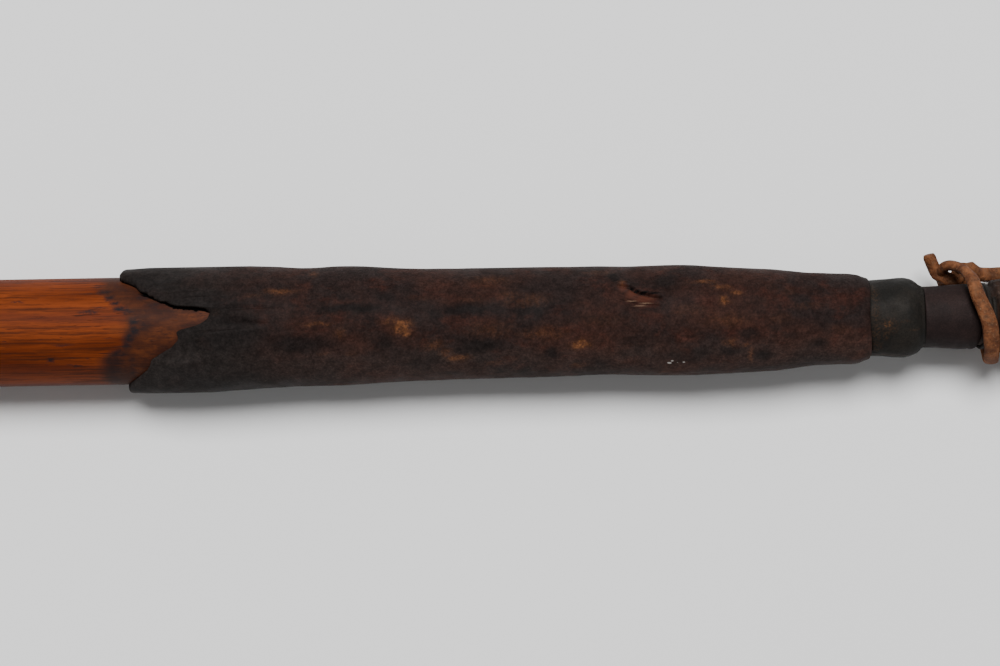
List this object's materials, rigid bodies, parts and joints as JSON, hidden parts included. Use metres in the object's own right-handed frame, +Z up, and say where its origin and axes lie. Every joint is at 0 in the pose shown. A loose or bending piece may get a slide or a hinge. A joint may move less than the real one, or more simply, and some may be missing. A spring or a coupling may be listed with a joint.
{
  "type": "fly swatter",
  "caption": "Wooden stick with a shrunk-on leather grip, a leather covered pommel with a wrist thong, and a perforated leather flap riveted in its slotted tip.",
  "frame": {"origin": "under the middle of the swatter's length, without its wrist loop, on the surface it lies on", "axes": "+X along the stick towards the pommel, +Z up from the surface it lies on, +Y across the stick to the side that the thong's knot is on"},
  "size_m": [0.6604, 0.088, 0.0235],
  "materials": {
    "wood": "oiled hardwood with open pores, worn",
    "grip_leather": "dark brown leather, polished by the hand, worn through to orange brown",
    "collar_leather": "black leather, dull",
    "neck_leather": "dark purple brown leather, matte",
    "pommel_leather": "dark brown leather, gathered and creased",
    "flap_leather": "brown sole leather, scuffed",
    "patch_leather": "dark brown leather",
    "lace_leather": "tan rawhide lace, greasy at its edges",
    "waxed_thread": "waxed linen thread, black",
    "stitch_thread": "waxed linen thread, tan",
    "copper": "aged copper"
  },
  "bodies": {
    "handle": {"shaft": "wood", "grip_sleeve": "grip_leather", "sleeve_whipping": "waxed_thread", "collar": "collar_leather", "neck_cover": "neck_leather", "pommel_cap": "pommel_leather", "pommel_whipping": "waxed_thread", "split_whipping": "waxed_thread", "flap_tongue": "flap_leather", "rivets": "copper", "rivet_burrs": "copper"},
    "flap": {"flap_blade": "flap_leather", "stiffener_top": "patch_leather", "stiffener_bottom": "patch_leather", "stiffener_stitches": "stitch_thread"},
    "thong": {"thong_noose": "lace_leather", "thong_knot": "lace_leather", "thong_tail": "lace_leather", "wrist_loop": "lace_leather"}
  },
  "joints": [
    {"name": "flap_flex", "type": "hinge", "parent": "handle", "child": "flap", "pos_m": [-0.1578, 0, 0.01175], "axis": [0, 1, 0], "range_deg": [-50, 50], "stiffness_Nm_per_rad": 0.8},
    {"name": "thong_turn", "type": "hinge", "parent": "handle", "child": "thong", "pos_m": [0.2595, 0, 0.01175], "axis": [1, 0, 0], "range_deg": [-35, 35]}
  ]
}
